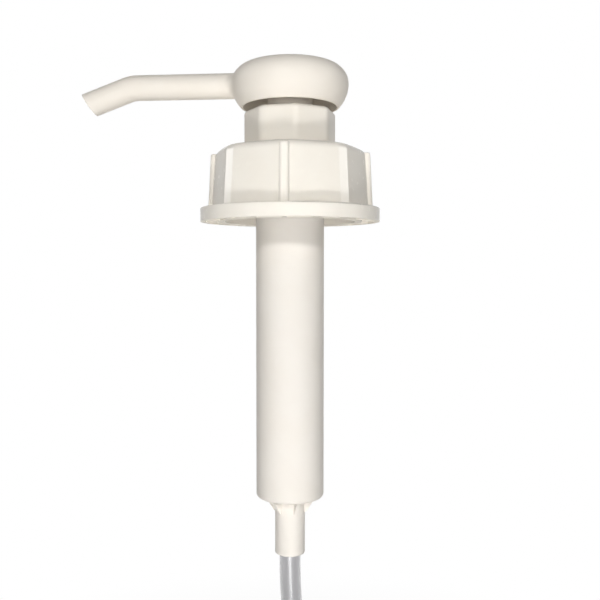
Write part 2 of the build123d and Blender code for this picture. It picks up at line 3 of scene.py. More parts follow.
import logging
from abc import ABC, abstractmethod
from dataclasses import dataclass, field
from enum import Enum
from math import cos, pi, radians, sin, sqrt, tau
from typing import Any, Sequence, Union

import bmesh
import bpy
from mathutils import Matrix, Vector

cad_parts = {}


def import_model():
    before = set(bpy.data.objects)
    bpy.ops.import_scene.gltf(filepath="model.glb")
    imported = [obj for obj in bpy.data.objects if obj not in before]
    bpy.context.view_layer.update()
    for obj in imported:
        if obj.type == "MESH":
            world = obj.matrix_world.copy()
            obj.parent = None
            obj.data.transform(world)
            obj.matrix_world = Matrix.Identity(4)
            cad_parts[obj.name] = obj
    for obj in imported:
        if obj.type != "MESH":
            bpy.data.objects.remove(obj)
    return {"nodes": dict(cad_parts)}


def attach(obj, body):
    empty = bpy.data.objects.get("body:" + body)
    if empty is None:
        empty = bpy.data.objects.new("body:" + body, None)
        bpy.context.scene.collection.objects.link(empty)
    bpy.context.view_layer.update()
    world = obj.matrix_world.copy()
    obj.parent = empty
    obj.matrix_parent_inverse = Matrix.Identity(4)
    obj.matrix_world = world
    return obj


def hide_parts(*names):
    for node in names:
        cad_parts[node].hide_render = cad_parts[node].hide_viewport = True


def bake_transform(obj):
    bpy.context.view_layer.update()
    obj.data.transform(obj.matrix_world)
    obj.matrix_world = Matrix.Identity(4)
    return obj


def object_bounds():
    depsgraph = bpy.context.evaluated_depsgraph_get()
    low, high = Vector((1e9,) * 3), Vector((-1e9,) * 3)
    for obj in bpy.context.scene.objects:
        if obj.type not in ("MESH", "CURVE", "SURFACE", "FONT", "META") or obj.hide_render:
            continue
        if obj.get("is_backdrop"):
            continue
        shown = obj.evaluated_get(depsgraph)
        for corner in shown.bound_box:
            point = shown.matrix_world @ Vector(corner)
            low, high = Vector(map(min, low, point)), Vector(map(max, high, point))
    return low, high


LOG = logging.getLogger("jug_pump")
MM = 0.001
QUARTER = 0.25
WHITE = (1.0, 1.0, 1.0, 1.0)

Colour = tuple[float, float, float, float]
Point = tuple[float, float, float]
Nodes = dict[str, bpy.types.Object]


class Body(Enum):
    """Bodies of the pump that carry new pieces."""

    BARREL = "barrel"
    CLOSURE = "closure"
    PISTON = "piston"
    HEAD = "head"


class Slot(Enum):
    """Material slots named for new pieces; nothing reads them, the finish is given directly."""

    HEAD_WHITE = "head_white"
    BODY_WHITE = "body_white"
    SPRING_STEEL = "spring_steel"


class Reach(Enum):
    """What a lamp's light does on a surface."""

    ALL = "all"
    GLINT = "mirror shine alone"
    WASH = "soft light alone"


class Value:
    """A shader socket that takes part in Python arithmetic: each operation adds a Math node."""

    def __init__(self, shader: "ShaderTree", socket: bpy.types.NodeSocket) -> None:
        """Wraps one output socket of a tree."""
        self.shader = shader
        self.socket = socket

    def maths(self, operation: str, *terms: "Term") -> "Value":
        """Adds a Math node.

        Args:
            operation: the node's operation.
            terms: its inputs in order, each a socket or a number.

        Returns:
            The node's result.
        """
        return self.shader.value("ShaderNodeMath", {"operation": operation}, dict(enumerate(terms)))

    def __add__(self, other: "Term") -> "Value":
        """Sum."""
        return self.maths("ADD", self, other)

    def __radd__(self, other: "Term") -> "Value":
        """Sum, with the socket on the right."""
        return self.maths("ADD", other, self)

    def __sub__(self, other: "Term") -> "Value":
        """Difference."""
        return self.maths("SUBTRACT", self, other)

    def __rsub__(self, other: "Term") -> "Value":
        """Difference, with the socket on the right."""
        return self.maths("SUBTRACT", other, self)

    def __mul__(self, other: "Term") -> "Value":
        """Product."""
        return self.maths("MULTIPLY", self, other)

    def __rmul__(self, other: "Term") -> "Value":
        """Product, with the socket on the right."""
        return self.maths("MULTIPLY", other, self)

    def __or__(self, other: "Term") -> "Value":
        """Larger of the two."""
        return self.maths("MAXIMUM", self, other)


Term = Union[Value, float]


class ShaderTree:
    """Node tree of one material or world, filled from code."""

    MIX_COLOURS = (6, 7)
    MIX_RESULT = 2

    def __init__(self, tree: bpy.types.NodeTree) -> None:
        """Empties a node tree and takes it over."""
        self.tree = tree
        self.tree.nodes.clear()

    def node(self, kind: str, settings: dict[str, Any], inputs: dict[Union[str, int], Any]) -> bpy.types.Node:
        """Makes any node.

        Args:
            kind: the node's type.
            settings: properties of the node, set before its sockets.
            inputs: values or links by socket name or number.

        Returns:
            The new node.
        """
        made = self.tree.nodes.new(kind)
        for name, setting in settings.items():
            setattr(made, name, setting)
        for key, given in inputs.items():
            if isinstance(given, Value):
                self.tree.links.new(given.socket, made.inputs[key])
            else:
                made.inputs[key].default_value = given
        return made

    def value(
        self,
        kind: str,
        settings: dict[str, Any],
        inputs: dict[Union[str, int], Any],
        output: Union[str, int] = 0,
    ) -> Value:
        """Makes a node and takes one of its outputs.

        Args:
            kind: the node's type.
            settings: properties of the node.
            inputs: values or links by socket name or number.
            output: name or number of the output.

        Returns:
            That output.
        """
        return Value(self, self.node(kind, settings, inputs).outputs[output])

    def place(self) -> Value:
        """Place on the piece, in metres in the pump's own frame."""
        return self.value("ShaderNodeTexCoord", {}, {}, "Object")

    def stretched(self, place: Value, factors: Point) -> Value:
        """Place with each axis multiplied by its factor."""
        return self.value("ShaderNodeVectorMath", {"operation": "MULTIPLY"}, {0: place, 1: factors})

    def noise(self, place: Value, size: float, detail: float = 2.0) -> Value:
        """Soft noise about one half.

        Args:
            place: where it is read.
            size: size of its features, in metres.
            detail: octaves of finer noise.

        Returns:
            The noise.
        """
        inputs = {"Vector": place, "Scale": 1.0 / size, "Detail": detail}
        return self.value("ShaderNodeTexNoise", {}, inputs)

    def mask(self, level: Value, low: float, high: float) -> Value:
        """Smooth step from 0 at the low level to 1 at the high level."""
        inputs = {"Value": level, "From Min": low, "From Max": high}
        return self.value("ShaderNodeMapRange", {"interpolation_type": "SMOOTHSTEP"}, inputs)

    def mix(self, factor: Value, first: Colour, second: Colour) -> Value:
        """Colour between two others."""
        sockets = {0: factor, self.MIX_COLOURS[0]: first, self.MIX_COLOURS[1]: second}
        return self.value("ShaderNodeMix", {"data_type": "RGBA"}, sockets, self.MIX_RESULT)

    def slope(self) -> Value:
        """How far a surface faces up: 1 for level tops, -1 for undersides."""
        normal = self.value("ShaderNodeNewGeometry", {}, {}, "Normal")
        return self.value("ShaderNodeSeparateXYZ", {}, {"Vector": normal}, "Z")

    def relief(self, height: Value) -> Value:
        """Normal of a surface raised by a height in metres."""
        return self.value("ShaderNodeBump", {}, {"Strength": 1.0, "Distance": 1.0, "Height": height})

    def principled(self, inputs: dict[str, Any]) -> Value:
        """Principled shader with the given sockets."""
        return self.value("ShaderNodeBsdfPrincipled", {}, inputs)

    def seen(self) -> Value:
        """1 for rays from the camera and for mirrored or refracted ones, 0 for the rest."""
        path = self.node("ShaderNodeLightPath", {}, {})
        names = ("Is Camera Ray", "Is Glossy Ray", "Is Transmission Ray")
        camera, glossy, through = (Value(self, path.outputs[name]) for name in names)
        return camera | glossy | through


@dataclass(frozen=True)
class Finish(ABC):
    """A surface finish, which becomes one material.

    Attributes:
        name: the material's name.
    """

    name: str

    @abstractmethod
    def shade(self, shader: ShaderTree) -> Value:
        """Fills a tree and returns the shader of its surface."""

    def material(self) -> bpy.types.Material:
        """Material of this finish, made on first use."""
        made = bpy.data.materials.get(self.name)
        if made is None:
            made = bpy.data.materials.new(self.name)
            made.use_nodes = True
            shader = ShaderTree(made.node_tree)
            shader.node("ShaderNodeOutputMaterial", {}, {"Surface": self.shade(shader)})
        return made

    def dress(self, piece: bpy.types.Object) -> None:
        """Gives a piece this finish all over."""
        material = self.material()
        if not piece.material_slots:
            piece.data.materials.append(material)
        for slot in piece.material_slots:
            slot.material = material


@dataclass(frozen=True)
class Relief:
    """Fine relief of a moulded wall.

    Attributes:
        size: size of its features, in metres.
        depth: height from its lows to its highs, in metres.
    """

    size: float
    depth: float


@dataclass(frozen=True)
class MouldedPlastic(Finish):
    """Moulded plastic with clouds in the resin, mould grain, sink waves, draw marks and scuffs.

    Attributes:
        colour: main colour.
        cloud: colour of the resin's faint clouds.
        roughness: mean roughness.
        grain: texture of the mould's wall.
        wave: slow waves where the plastic shrank.
        draw: marks along Z where the piece left the mould.
        scuff: roughness that handling adds in patches.
        sheen: strength of its mirror shine.
        dull: roughness that undersides add, because their half of the mould isn't polished.
    """

    colour: Colour = (0.93, 0.888, 0.81, 1.0)
    cloud: Colour = (0.92, 0.874, 0.79, 1.0)
    roughness: float = 0.3
    grain: Relief = Relief(0.25 * MM, 0.002 * MM)
    wave: Relief = Relief(9 * MM, 0.012 * MM)
    draw: Relief = Relief(0.7 * MM, 0.0)
    scuff: float = 0.04
    sheen: float = 0.2
    dull: float = 0.5

    CLOUD_SIZE = 14 * MM
    CLOUD_BAND = (0.35, 0.7)
    SCUFF_SIZE = 3 * MM
    SCUFF_BAND = (0.5, 0.72)
    UNDERSIDE_BAND = (-0.6, -0.9)
    GRAIN_ROUGHNESS = 0.06
    DRAW_SQUEEZE = 0.02

    def shade(self, shader: ShaderTree) -> Value:
        """Principled plastic with the relief in its normal."""
        place = shader.place()
        clouds = shader.mask(shader.noise(place, self.CLOUD_SIZE, 4.0), *self.CLOUD_BAND)
        scuffs = shader.mask(shader.noise(place, self.SCUFF_SIZE, 6.0), *self.SCUFF_BAND)
        underside = shader.mask(shader.slope(), *self.UNDERSIDE_BAND)
        grain = shader.noise(place, self.grain.size)
        height = grain * self.grain.depth
        height = height + shader.noise(place, self.wave.size, 1.0) * self.wave.depth
        if self.draw.depth > 0:
            along = shader.stretched(place, (1.0, 1.0, self.DRAW_SQUEEZE))
            height = height + shader.noise(along, self.draw.size, 3.0) * self.draw.depth
        roughness = self.roughness + scuffs * self.scuff + (grain - 0.5) * self.GRAIN_ROUGHNESS
        return shader.principled(
            {
                "Base Color": shader.mix(clouds, self.colour, self.cloud),
                "Roughness": roughness + underside * self.dull,
                "Normal": shader.relief(height),
                "Specular IOR Level": self.sheen,
            }
        )


@dataclass(frozen=True)
class ClearTube(Finish):
    """Extruded clear tube with die lines along it and a faint haze.

    Attributes:
        colour: tint of the plastic.
        roughness: roughness of its walls.
        die_lines: lines that the extruder's die leaves.
        index: index of refraction.
        skin_share: share of the smoother skin that the die leaves.
        skin_roughness: roughness of that skin.
    """

    colour: Colour = (0.63, 0.627, 0.633, 1.0)
    roughness: float = 0.3
    die_lines: Relief = Relief(0.9 * MM, 0.004 * MM)
    index: float = 1.47
    skin_share: float = 0.45
    skin_roughness: float = 0.24

    HAZE_SIZE = 18 * MM
    HAZE_ROUGHNESS = 0.1
    LINE_SQUEEZE = 0.015

    def shade(self, shader: ShaderTree) -> Value:
        """Principled transmission with die lines in its normal."""
        place = shader.place()
        haze = shader.noise(place, self.HAZE_SIZE, 3.0)
        along = shader.stretched(place, (1.0, 1.0, self.LINE_SQUEEZE))
        lines = shader.noise(along, self.die_lines.size, 2.0)
        return shader.principled(
            {
                "Base Color": self.colour,
                "Roughness": self.roughness + (haze - 0.5) * self.HAZE_ROUGHNESS,
                "Normal": shader.relief(lines * self.die_lines.depth),
                "Transmission Weight": 1.0,
                "IOR": self.index,
                "Coat Weight": self.skin_share,
                "Coat Roughness": self.skin_roughness,
            }
        )


@dataclass(frozen=True)
class SoftRubber(Finish):
    """Moulded soft rubber with a dusty bloom.

    Attributes:
        colour: colour of the rubber.
        bloom: colour of the dusty patches.
        roughness: roughness of the clean rubber.
        dust: roughness that the bloom adds.
        grain: texture of its skin.
    """

    colour: Colour = (0.62, 0.60, 0.56, 1.0)
    bloom: Colour = (0.74, 0.72, 0.68, 1.0)
    roughness: float = 0.62
    dust: float = 0.18
    grain: Relief = Relief(0.35 * MM, 0.01 * MM)

    BLOOM_SIZE = 5 * MM
    BLOOM_BAND = (0.4, 0.65)

    def shade(self, shader: ShaderTree) -> Value:
        """Dull principled rubber."""
        place = shader.place()
        patches = shader.mask(shader.noise(place, self.BLOOM_SIZE, 5.0), *self.BLOOM_BAND)
        grain = shader.noise(place, self.grain.size)
        return shader.principled(
            {
                "Base Color": shader.mix(patches, self.colour, self.bloom),
                "Roughness": self.roughness + patches * self.dust,
                "Normal": shader.relief(grain * self.grain.depth),
            }
        )


@dataclass(frozen=True)
class SpringWire(Finish):
    """Drawn stainless wire with fine draw lines and a straw tint where it was coiled.

    Attributes:
        colour: colour of the steel.
        straw: colour of the tinted patches.
        roughness: roughness between the draw lines.
        drag: roughness that the draw lines add.
        lines: draw lines of the wire.
    """

    colour: Colour = (0.60, 0.60, 0.61, 1.0)
    straw: Colour = (0.56, 0.53, 0.47, 1.0)
    roughness: float = 0.24
    drag: float = 0.16
    lines: Relief = Relief(0.25 * MM, 0.003 * MM)

    PATCH_SIZE = 6 * MM
    PATCH_BAND = (0.45, 0.7)
    LINE_SQUEEZE = 8.0

    def shade(self, shader: ShaderTree) -> Value:
        """Principled metal with draw lines in its normal."""
        place = shader.place()
        patches = shader.mask(shader.noise(place, self.PATCH_SIZE, 3.0), *self.PATCH_BAND)
        across = shader.stretched(place, (1.0, 1.0, self.LINE_SQUEEZE))
        lines = shader.noise(across, self.lines.size, 3.0)
        return shader.principled(
            {
                "Base Color": shader.mix(patches, self.colour, self.straw),
                "Metallic": 1.0,
                "Roughness": self.roughness + lines * self.drag,
                "Normal": shader.relief(lines * self.lines.depth),
            }
        )


@dataclass(frozen=True)
class BallGlass(Finish):
    """Ground glass ball with a faint green tint.

    Attributes:
        colour: tint of the glass.
        roughness: roughness of the polished glass.
        haze: roughness that grinding adds.
        index: index of refraction.
        grind: fine texture that grinding leaves.
    """

    colour: Colour = (0.86, 0.91, 0.89, 1.0)
    roughness: float = 0.03
    haze: float = 0.1
    index: float = 1.52
    grind: Relief = Relief(0.15 * MM, 0.001 * MM)

    PATCH_SIZE = 2 * MM
    PATCH_BAND = (0.45, 0.7)

    def shade(self, shader: ShaderTree) -> Value:
        """Principled glass with patches of grinding haze."""
        place = shader.place()
        patches = shader.mask(shader.noise(place, self.PATCH_SIZE, 4.0), *self.PATCH_BAND)
        grind = shader.noise(place, self.grind.size)
        return shader.principled(
            {
                "Base Color": self.colour,
                "Roughness": self.roughness + patches * self.haze,
                "Normal": shader.relief(grind * self.grind.depth),
                "Transmission Weight": 1.0,
                "IOR": self.index,
            }
        )


@dataclass(frozen=True)
class PaleFloor(Finish):
    """White studio floor that keeps the pump's shadow near it and fades to plain white further out.

    Attributes:
        colour: colour that catches light and shadow.
        near_white: share of plain white beside the pump.
        fade: distances from the axis where plain white begins to take over, and where it has, in metres.
    """

    colour: Colour = (0.5, 0.5, 0.495, 1.0)
    near_white: float = 0.84
    fade: tuple[float, float] = (0.16, 0.42)

    MOTTLE_SIZE = 30 * MM
    MOTTLE_SHADE = 0.97

    def shade(self, shader: ShaderTree) -> Value:
        """Matte floor mixed with plain white for the rays that show it."""
        place = shader.place()
        speckle = shader.noise(place, self.MOTTLE_SIZE, 5.0)
        dimmer = tuple(self.MOTTLE_SHADE * part for part in self.colour[:3]) + (1.0,)
        colour = shader.mix(speckle, self.colour, dimmer)
        matte = shader.value("ShaderNodeBsdfDiffuse", {}, {"Color": colour})
        white = shader.value("ShaderNodeEmission", {}, {"Color": WHITE, "Strength": 1.0})
        distance = shader.value("ShaderNodeVectorMath", {"operation": "LENGTH"}, {0: place}, "Value")
        far = shader.mask(distance, *self.fade)
        share = shader.seen() * (self.near_white + far * (1.0 - self.near_white))
        return shader.value("ShaderNodeMixShader", {}, {0: share, 1: matte, 2: white})


HEAD_PLASTIC = MouldedPlastic(
    "satin_head_plastic",
    colour=(0.955, 0.896, 0.81, 1.0),
    cloud=(0.945, 0.882, 0.792, 1.0),
    roughness=0.42,
    grain=Relief(0.3 * MM, 0.008 * MM),
    wave=Relief(9 * MM, 0.01 * MM),
    sheen=0.06,
)
COLLAR_PLASTIC = MouldedPlastic(
    "glossy_collar_plastic",
    colour=(0.925, 0.876, 0.79, 1.0),
    cloud=(0.915, 0.862, 0.772, 1.0),
    wave=Relief(7 * MM, 0.01 * MM),
    sheen=0.1,
)
CAP_PLASTIC = MouldedPlastic(
    "glossy_cap_plastic",
    colour=(0.958, 0.91, 0.824, 1.0),
    roughness=0.24,
    cloud=(0.948, 0.895, 0.806, 1.0),
)
BARREL_PLASTIC = MouldedPlastic(
    "satin_barrel_plastic",
    colour=(0.88, 0.834, 0.77, 1.0),
    cloud=(0.87, 0.82, 0.752, 1.0),
    roughness=0.46,
    draw=Relief(0.8 * MM, 0.002 * MM),
    sheen=0.06,
)
INNER_PLASTIC = MouldedPlastic(
    "natural_inner_plastic",
    colour=(0.86, 0.85, 0.81, 1.0),
    cloud=(0.80, 0.79, 0.74, 1.0),
    roughness=0.3,
    draw=Relief(0.6 * MM, 0.003 * MM),
)
PISTON_PLASTIC = MouldedPlastic(
    "soft_piston_plastic",
    colour=(0.80, 0.79, 0.75, 1.0),
    cloud=(0.74, 0.73, 0.68, 1.0),
    roughness=0.45,
)
SEAL_RUBBER = SoftRubber("pale_seal_rubber")
SPRING_WIRE = SpringWire("drawn_spring_wire")
BALL_GLASS = BallGlass("ground_ball_glass")
TUBE_PLASTIC = ClearTube("clear_tube_plastic")
FLOOR_WHITE = PaleFloor("pale_studio_floor")


def smooth(share: float) -> float:
    """Smooth step of a share, held between 0 and 1."""
    held = min(max(share, 0.0), 1.0)
    return held * held * (3.0 - 2.0 * held)


def on_circle(radius: float, turn: float, height: float) -> Vector:
    """Point at a radius, a count of turns about Z and a height."""
    return Vector((radius * cos(tau * turn), radius * sin(tau * turn), height))


def skin(
    name: str, *runs: Sequence[Sequence[Vector]], rounded: bool = True, looped: bool = False
) -> bpy.types.Object:
    """Closed mesh of one form for each run of rings.

    Args:
        name: the piece's name.
        runs: runs of rings of equally many points, in order.
        rounded: whether the sides look round.
        looped: whether the last ring joins the first, in place of caps at both ends.

    Returns:
        The new piece, linked to the scene.
    """
    form = bmesh.new()
    for rings in runs:
        loops = [[form.verts.new(point) for point in ring] for ring in rings]
        path = loops + loops[:1] if looped else loops
        for low, high in zip(path, path[1:]):
            for i, corner in enumerate(low):
                j = (i + 1) % len(low)
                side = form.faces.new((corner, low[j], high[j], high[i]))
                side.smooth = rounded
        if not looped:
            form.faces.new(loops[0][::-1])
            form.faces.new(loops[-1])
    bmesh.ops.recalc_face_normals(form, faces=form.faces)
    mesh = bpy.data.meshes.new(name)
    form.to_mesh(mesh)
    form.free()
    piece = bpy.data.objects.new(name, mesh)
    bpy.context.scene.collection.objects.link(piece)
    return piece


@dataclass(frozen=True)
class ThreadRidge:
    """Screw thread on a round wall, with ends that rise out of it.

    Attributes:
        wall_r: radius of the wall.
        crest_r: radius of the ridge's crest, outside the wall's or inside it.
        foot: height of the ridge's middle where it starts.
        pitch: rise of one turn.
        turns: count of turns.
        wide: width of the ridge at the wall.
        narrow: width of its crest.
        start: turns about Z where it starts.
        fade: turns over which each end rises.
    """

    wall_r: float
    crest_r: float
    foot: float
    pitch: float
    turns: float
    wide: float
    narrow: float
    start: float = 0.0
    fade: float = 0.2

    ROOT = 0.2 * MM
    STEPS = 96
    LEAST_RISE = 0.04
    END_WIDTH = 0.4
    FLANK_SHARE = 0.8
    CREST_SHARE = 0.7

    def section(self, rise: float) -> list[tuple[float, float]]:
        """Outline of the ridge as radii and heights about its middle.

        Args:
            rise: share of its full height, from 0 to 1.

        Returns:
            Eight corners, from below round the crest to above.
        """
        step = self.crest_r - self.wall_r
        root_r = self.wall_r - self.ROOT * (1 if step > 0 else -1)
        share = self.END_WIDTH + (1 - self.END_WIDTH) * rise
        wide, narrow = self.wide * share / 2, self.narrow * share / 2
        half = [
            (root_r, wide),
            (self.wall_r, wide),
            (self.wall_r + self.FLANK_SHARE * step * rise, narrow),
            (self.wall_r + step * rise, self.CREST_SHARE * narrow),
        ]
        return [(radius, -width) for radius, width in half] + half[::-1]

    def build(self, name: str) -> bpy.types.Object:
        """Closed mesh of the ridge.

        Args:
            name: the piece's name.

        Returns:
            The new piece.
        """
        rings = []
        count = round(self.turns * self.STEPS)
        for i in range(count + 1):
            turn = self.turns * i / count
            rise = max(smooth(min(turn, self.turns - turn) / self.fade), self.LEAST_RISE)
            middle = self.foot + self.pitch * turn
            corners = self.section(rise)
            about = self.start + turn
            rings.append([on_circle(radius, about, middle + height) for radius, height in corners])
        return skin(name, rings)


@dataclass
class Assembly(ABC):
    """A sub-assembly of the pump: its finishes by node, and the pieces that it adds."""

    finishes: dict[str, Finish] = field(default_factory=dict)

    @abstractmethod
    def build(self) -> list[bpy.types.Object]:
        """Builds and dresses the pieces that the sub-assembly adds."""

    def add(self, piece: bpy.types.Object, finish: Finish, slot: Slot) -> bpy.types.Object:
        """Dresses a new piece with a finish.

        Args:
            piece: the new piece.
            finish: its finish.
            slot: not used.

        Returns:
            The piece.
        """
        finish.dress(piece)
        return piece

    def make(self, nodes: Nodes) -> None:
        """Dresses the sub-assembly's own nodes and adds its pieces.

        Args:
            nodes: the frame's nodes by name.
        """
        for name, finish in self.finishes.items():
            finish.dress(nodes[name])
            LOG.info("%s: %s", name, finish.name)
        for piece in self.build():
            LOG.info("%s: new, %d faces", piece.name, len(piece.data.polygons))


@dataclass
class PushHead(Assembly):
    """Push head with its spout, the hollow rounding at the spout's root, and the thread on its lock boss.

    Attributes:
        lock: thread on the boss, short enough to pass the collar's own.
        head_r: radius of the dome at its widest.
        shoulder_r: radius of the dome's bend above its widest height.
        cheek_r: radius of the bend below it.
        widest: height where the dome is widest, and where the spout's axis lies.
        spout_r: radius of the spout.
        spout_turn: turns about Z of the spout.
        root_side: radius of the rounding beside the spout.
        root_edge: radius of the rounding above and below it.
    """

    finishes: dict[str, Finish] = field(
        default_factory=lambda: {"pump_head": HEAD_PLASTIC, "spout": HEAD_PLASTIC}
    )
    lock: ThreadRidge = ThreadRidge(
        wall_r=10.5 * MM,
        crest_r=11.05 * MM,
        foot=16.9 * MM,
        pitch=3 * MM,
        turns=1.9,
        wide=1.5 * MM,
        narrow=0.7 * MM,
    )
    head_r: float = 27.3 * MM
    shoulder_r: float = 8.7 * MM
    cheek_r: float = 14.8 * MM
    widest: float = 36.5 * MM
    spout_r: float = 5.9 * MM
    spout_turn: float = 175 / 360
    root_side: float = 4 * MM
    root_edge: float = 0.5 * MM

    SINK = 0.6 * MM
    TUCK = 0.06 * MM
    ROOT_STEPS = 12
    ROUND_STEPS = 96

    def dome_reach(self, aside: float, rise: float) -> float:
        """How far from Z the dome's surface lies along the spout.

        Args:
            aside: distance beside the spout's axis.
            rise: height above it.

        Returns:
            The distance along the spout's axis.
        """
        bend = self.shoulder_r if rise > 0 else self.cheek_r
        radius = self.head_r - bend + sqrt(bend**2 - rise**2)
        return sqrt(radius**2 - aside**2)

    def root_point(self, share: float, bend: float, sink: float = 0.0) -> Vector:
        """Point of the rounding between the spout and the dome.

        Args:
            share: turns about the spout's axis.
            bend: turns of the rounding, from 0 on the spout to a quarter on the dome.
            sink: how far under the spout and the dome it lies.

        Returns:
            The point.
        """
        round_r = self.root_edge + (self.root_side - self.root_edge) * cos(tau * share) ** 2
        away = self.spout_r - self.TUCK + round_r * (1 - cos(tau * bend))
        reach = self.dome_reach(away * cos(tau * share), away * sin(tau * share))
        along = on_circle(reach + round_r * (1 - sin(tau * bend)) - sink, self.spout_turn, self.widest)
        aside, rise = (away - sink) * cos(tau * share), (away - sink) * sin(tau * share)
        return along + on_circle(aside, self.spout_turn + QUARTER, rise)

    def root(self) -> bpy.types.Object:
        """Ring that rounds the spout's root into the dome."""
        bends = [QUARTER * i / self.ROOT_STEPS for i in range(self.ROOT_STEPS + 1)]
        shares = [i / self.ROUND_STEPS for i in range(self.ROUND_STEPS)]
        rings = [[self.root_point(share, bend) for share in shares] for bend in bends]
        rings += [[self.root_point(share, bend, self.SINK) for share in shares] for bend in bends[::-1]]
        ring = skin("spout_root", rings, looped=True)
        for face in ring.data.polygons[self.ROOT_STEPS * self.ROUND_STEPS :]:
            face.use_smooth = False
        return ring

    def build(self) -> list[bpy.types.Object]:
        """Rounding at the spout's root, and thread on the boss."""
        pieces = [self.root(), self.lock.build("boss_thread")]
        for piece in pieces:
            self.add(piece, HEAD_PLASTIC, Slot.HEAD_WHITE)
            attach(piece, Body.HEAD.value)
        return pieces


@dataclass
class LockCollar(Assembly):
    """Octagonal lock collar with its stem wiper, and the thread in its socket.

    Attributes:
        lock: thread in the socket, half a pitch from the boss's.
    """

    finishes: dict[str, Finish] = field(
        default_factory=lambda: {"lock_nut": COLLAR_PLASTIC, "stem_wiper": SEAL_RUBBER}
    )
    lock: ThreadRidge = ThreadRidge(
        wall_r=11.7 * MM,
        crest_r=11.15 * MM,
        foot=15.4 * MM,
        pitch=3 * MM,
        turns=2.3,
        wide=1.5 * MM,
        narrow=0.7 * MM,
    )

    def build(self) -> list[bpy.types.Object]:
        """Thread in the socket."""
        thread = self.add(self.lock.build("lock_thread"), COLLAR_PLASTIC, Slot.BODY_WHITE)
        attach(thread, Body.BARREL.value)
        return [thread]


@dataclass
class NeckClosure(Assembly):
    """Screw cap and the thread that grips the jug's neck.

    Attributes:
        neck: thread in the cap's bore.
    """

    finishes: dict[str, Finish] = field(default_factory=lambda: {"screw_cap": CAP_PLASTIC})
    neck: ThreadRidge = ThreadRidge(
        wall_r=30.5 * MM,
        crest_r=29.2 * MM,
        foot=-23 * MM,
        pitch=5 * MM,
        turns=2.6,
        wide=3 * MM,
        narrow=1.3 * MM,
    )

    def build(self) -> list[bpy.types.Object]:
        """Thread in the cap."""
        thread = self.add(self.neck.build("cap_thread"), CAP_PLASTIC, Slot.BODY_WHITE)
        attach(thread, Body.CLOSURE.value)
        return [thread]


@dataclass
class Barrel(Assembly):
    """Cylinder with the webs that brace its tube socket, neck gasket, inlet valve and dip tube.

    Attributes:
        foot: height of the cylinder's foot.
        socket_r: radius of the tube socket.
        web_r: radius that the webs reach at the cylinder's foot.
        web_h: height of the webs.
        web_lip: how far they stand out at their lower end.
        web_t: thickness of the webs.
        web_count: count of webs.
        web_start: turns about Z of the first web.
        edge_r: radius of their rounded edges.
    """

    finishes: dict[str, Finish] = field(
        default_factory=lambda: {
            "pump_cylinder": BARREL_PLASTIC,
            "neck_gasket": SEAL_RUBBER,
            "ball_cage": INNER_PLASTIC,
            "inlet_ball": BALL_GLASS,
            "dip_tube": TUBE_PLASTIC,
        }
    )
    foot: float = -157.2 * MM
    socket_r: float = 7.05 * MM
    web_r: float = 12.5 * MM
    web_h: float = 7.4 * MM
    web_lip: float = 0.8 * MM
    web_t: float = 1.7 * MM
    web_count: int = 6
    web_start: float = -10 / 360
    edge_r: float = 0.25 * MM

    ROOT = 0.8 * MM
    EDGE_STEPS = 3

    def web(self, turn: float) -> list[list[Vector]]:
        """Two outlines of one web, at its two faces.

        Args:
            turn: turns about Z where it stands.

        Returns:
            The outlines as rings of points.
        """
        low = self.foot - self.web_h
        corners = (
            (self.socket_r - self.ROOT, self.foot + self.ROOT),
            (self.web_r, self.foot + self.ROOT),
            (self.web_r, self.foot),
            (self.socket_r + self.web_lip, low),
            (self.socket_r - self.ROOT, low),
        )
        outline = [on_circle(radius, turn, height) for radius, height in corners]
        aside = on_circle(self.web_t / 2, turn + QUARTER, 0.0)
        return [[point - aside for point in outline], [point + aside for point in outline]]

    def build(self) -> list[bpy.types.Object]:
        """Webs under the cylinder's foot, wider than the solid's own."""
        turns = (self.web_start + i / self.web_count for i in range(self.web_count))
        webs = skin("socket_webs", *(self.web(turn) for turn in turns), rounded=False)
        rounding = webs.modifiers.new("rounded_edges", "BEVEL")
        rounding.width = self.edge_r
        rounding.segments = self.EDGE_STEPS
        self.add(webs, BARREL_PLASTIC, Slot.BODY_WHITE)
        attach(webs, Body.BARREL.value)
        return [webs]


